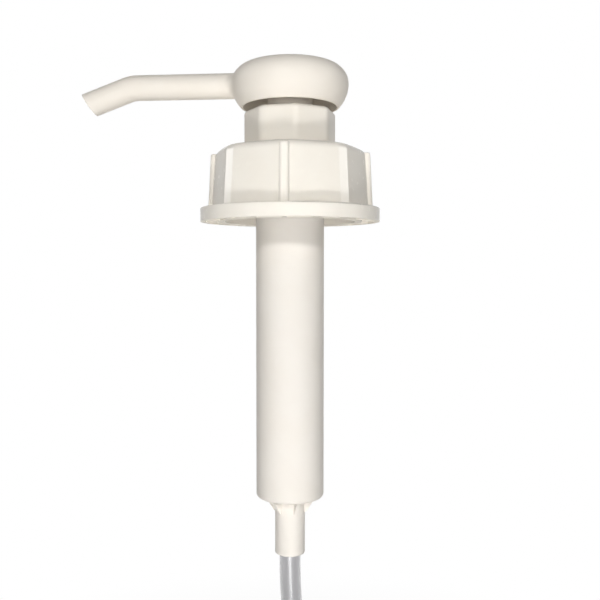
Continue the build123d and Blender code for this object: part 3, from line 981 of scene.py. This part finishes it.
@dataclass
class Plunger(Assembly):
    """Stem, piston, outlet valve, and the return spring below the piston.

    Attributes:
        wire_d: diameter of the spring's wire.
        coil_r: radius of the coil at the wire's middle.
        foot: height of the spring's foot.
        top: height of the spring's top.
        turns: count of turns.
        closed: turns at each end that lie close.
        close_pitch: rise of a closed turn.
    """

    finishes: dict[str, Finish] = field(
        default_factory=lambda: {
            "stem": INNER_PLASTIC,
            "valve_seat": INNER_PLASTIC,
            "piston_seal": PISTON_PLASTIC,
            "outlet_ball": BALL_GLASS,
        }
    )
    wire_d: float = 1.8 * MM
    coil_r: float = 10.6 * MM
    foot: float = -152.6 * MM
    top: float = -112.8 * MM
    turns: float = 14.0
    closed: float = 1.0
    close_pitch: float = 2.0 * MM

    STEPS = 48
    WIRE_SIDES = 12

    def wire_height(self, turn: float) -> float:
        """Height of the wire's middle after a count of turns."""
        low, high = self.foot + self.wire_d / 2, self.top - self.wire_d / 2
        open_turns = self.turns - 2 * self.closed
        open_pitch = (high - low - 2 * self.closed * self.close_pitch) / open_turns
        bottom = min(turn, self.closed)
        upper = max(turn - self.turns + self.closed, 0.0)
        return low + self.close_pitch * (bottom + upper) + open_pitch * (turn - bottom - upper)

    def coil(self) -> bpy.types.Object:
        """Closed mesh of the coiled wire."""
        count = round(self.turns * self.STEPS)
        step = 1.0 / self.STEPS
        middles = [on_circle(self.coil_r, i * step, self.wire_height(i * step)) for i in range(count + 1)]
        rings = []
        for i, middle in enumerate(middles):
            along = (middles[min(i + 1, count)] - middles[max(i - 1, 0)]).normalized()
            out = on_circle(1.0, i * step, 0.0)
            up = along.cross(out).normalized() * -1.0
            ring = []
            for side in range(self.WIRE_SIDES):
                around = tau * side / self.WIRE_SIDES
                ring.append(middle + (out * cos(around) + up * sin(around)) * (self.wire_d / 2))
            rings.append(ring)
        return skin("return_coil", rings)

    def build(self) -> list[bpy.types.Object]:
        """Return spring, which stretches between the cylinder's foot and the piston."""
        spring = self.add(self.coil(), SPRING_WIRE, Slot.SPRING_STEEL)
        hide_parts("return_spring")
        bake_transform(spring)
        return [spring]


@dataclass(frozen=True)
class Lamp:
    """Soft rectangular studio lamp.

    Attributes:
        name: the lamp's name.
        place: its middle, in metres.
        aim: the point that it faces.
        size: its width and height.
        level: brightness of a white surface that faces it at the aim.
        reach: what its light does on a surface.
    """

    name: str
    place: Point
    aim: Point
    size: tuple[float, float]
    level: float
    reach: Reach = Reach.ALL

    def build(self) -> bpy.types.Object:
        """Lamp of the power that gives its level at the aim."""
        way = Vector(self.aim) - Vector(self.place)
        light = bpy.data.lights.new(self.name, "AREA")
        light.shape = "RECTANGLE"
        light.size, light.size_y = self.size
        light.energy = self.level * pi * pi * way.length_squared
        lamp = bpy.data.objects.new(self.name, light)
        lamp.location = self.place
        lamp.rotation_euler = way.to_track_quat("-Z", "Y").to_euler()
        lamp.visible_camera = False
        lamp.visible_diffuse = self.reach is not Reach.GLINT
        lamp.visible_glossy = self.reach is not Reach.WASH
        bpy.context.scene.collection.objects.link(lamp)
        return lamp


@dataclass
class Studio:
    """White studio: floor, surrounding light, lamps and camera.

    Attributes:
        floor_gap: room between the pump's lowest point and the floor.
        floor_r: radius of the floor.
        ambient: strength of the surrounding light.
        camera_place: where the camera stands, in metres.
        camera_tilt: its tilt from straight down, in degrees.
        lens: focal length, in millimetres.
        shift: sideways shift of its frame.
        lamps: the lamps.
    """

    floor_gap: float = 2 * MM
    floor_r: float = 8.0
    ambient: float = 0.04
    camera_place: Point = (0.0, -0.353, -0.04915)
    camera_tilt: float = 87.6
    lens: float = 44.88
    shift: float = 10.0 / 600.0
    lamps: tuple[Lamp, ...] = (
        Lamp("upper_key", (0.0, -1.1, 0.4), (0.0, -0.03, 0.0), (0.3, 0.08), 0.36),
        Lamp("lower_key", (0.0, -0.45, -0.345), (0.0, -0.035, -0.02), (0.25, 0.065), 0.46),
        Lamp("front_fill", (0.0, -1.2, -0.2), (0.0, 0.0, -0.03), (1.1, 0.26), 0.2),
        Lamp("left_fill", (-0.9, -1.2, -0.05), (0.0, 0.0, -0.05), (0.4, 0.5), 0.065),
        Lamp("right_fill", (0.9, -1.2, -0.05), (0.0, 0.0, -0.05), (0.4, 0.5), 0.07),
        Lamp("overhead", (0.0, 0.2, 1.2), (0.0, 0.0, 0.0), (0.9, 0.9), 0.08),
        Lamp("back_left", (-0.55, 1.23, 0.1), (0.0, 0.0, -0.06), (0.6, 0.8), 0.46, Reach.WASH),
        Lamp("back_right", (0.55, 1.23, 0.1), (0.0, 0.0, -0.06), (0.6, 0.8), 0.46, Reach.WASH),
        Lamp("left_strip", (-0.9, 0.2, 0.5), (0.0, -0.02, 0.0), (0.25, 0.8), 0.75, Reach.GLINT),
        Lamp("right_strip", (0.9, -0.05, 0.5), (0.0, -0.02, 0.0), (0.25, 0.8), 0.75, Reach.GLINT),
    )

    FLOOR_SIDES = 96
    SENSOR_WIDTH = 36.0
    NEAREST = 10 * MM

    def build_floor(self, lowest: float) -> bpy.types.Object:
        """Round floor under the pump.

        Args:
            lowest: height of the pump's lowest point.

        Returns:
            The floor.
        """
        form = bmesh.new()
        turns = (i / self.FLOOR_SIDES for i in range(self.FLOOR_SIDES))
        form.faces.new([form.verts.new(on_circle(self.floor_r, turn, 0.0)) for turn in turns])
        mesh = bpy.data.meshes.new("floor")
        form.to_mesh(mesh)
        form.free()
        floor = bpy.data.objects.new("floor", mesh)
        floor.location = (0.0, 0.0, lowest - self.floor_gap)
        bpy.context.scene.collection.objects.link(floor)
        FLOOR_WHITE.dress(floor)
        floor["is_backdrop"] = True
        return floor

    def light_world(self) -> None:
        """White surroundings where they show, and their weaker light on the pump."""
        world = bpy.data.worlds.new("white_surroundings")
        world.use_nodes = True
        bpy.context.scene.world = world
        shader = ShaderTree(world.node_tree)
        strength = self.ambient + shader.seen() * (1.0 - self.ambient)
        glow = shader.value("ShaderNodeBackground", {}, {"Color": WHITE, "Strength": strength})
        shader.node("ShaderNodeOutputWorld", {}, {"Surface": glow})

    def place_camera(self) -> None:
        """Camera at the photograph's place."""
        view = bpy.data.cameras.new("camera")
        view.lens = self.lens
        view.sensor_width = self.SENSOR_WIDTH
        view.shift_x = self.shift
        view.clip_start = self.NEAREST
        camera = bpy.data.objects.new("camera", view)
        camera.location = self.camera_place
        camera.rotation_euler = (radians(self.camera_tilt), 0.0, 0.0)
        bpy.context.scene.collection.objects.link(camera)
        bpy.context.scene.camera = camera

    def build(self, lowest: float) -> None:
        """Sets up the whole studio.

        Args:
            lowest: height of the pump's lowest point.
        """
        bpy.context.scene.view_settings.view_transform = "Standard"
        self.build_floor(lowest)
        self.light_world()
        self.place_camera()
        for lamp in self.lamps:
            lamp.build()
            LOG.info("%s: level %.2f", lamp.name, lamp.level)


def main() -> None:
    """Dresses the pump, adds its small pieces and sets up the studio."""
    logging.basicConfig(level=logging.INFO, format="%(name)s: %(message)s")
    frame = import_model()
    cad_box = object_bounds()
    for assembly in (PushHead(), LockCollar(), NeckClosure(), Barrel(), Plunger()):
        assembly.make(frame["nodes"])
    Studio().build(cad_box[0][2])


if __name__ == "__main__":
    main()
